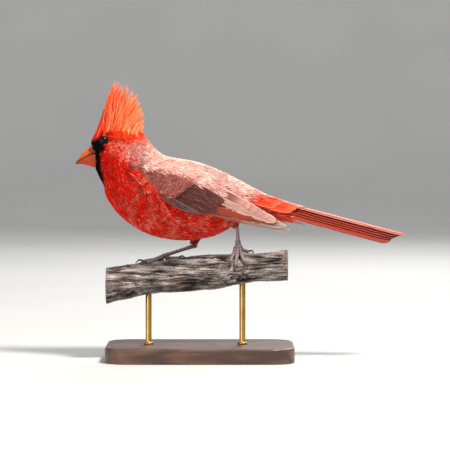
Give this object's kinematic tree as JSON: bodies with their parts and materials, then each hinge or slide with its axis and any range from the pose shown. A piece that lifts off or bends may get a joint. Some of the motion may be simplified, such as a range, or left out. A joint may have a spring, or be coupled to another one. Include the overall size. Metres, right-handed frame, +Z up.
{
  "type": "perched northern cardinal model",
  "caption": "Life-size display model of a crested red songbird with a black face and a thick orange bill, gripping a cut branch held by rods above a flat base.",
  "frame": {"origin": "centre of the flat underside of the stand's base", "axes": "+Z up, -X the way the bird faces, -Y towards the bird's left side"},
  "size_m": [0.2177, 0.078, 0.1862],
  "materials": {
    "plumage_red": "matte",
    "plumage_crest": "matte",
    "plumage_wing": "matte",
    "plumage_tail": "matte",
    "bill": "satin",
    "eye": "polished",
    "legs": "satin",
    "bark": "rough",
    "stand_wood": "satin",
    "stand_metal": "brushed"
  },
  "bodies": {
    "root": {"head": "plumage_red", "neck": "plumage_red", "torso": "plumage_red", "crest": "plumage_crest", "tail": "plumage_tail", "wing_left": "plumage_wing", "wing_right": "plumage_wing", "thigh_left": "plumage_red", "thigh_right": "plumage_red", "shank_left": "legs", "shank_right": "legs", "foot_left": "legs", "foot_right": "legs", "bill_upper": "bill", "bill_lower": "bill", "eye_left": "eye", "eye_right": "eye", "branch": "bark", "stand_base": "stand_wood", "stand_rod_front": "stand_metal", "stand_rod_rear": "stand_metal"}
  },
  "joints": []
}
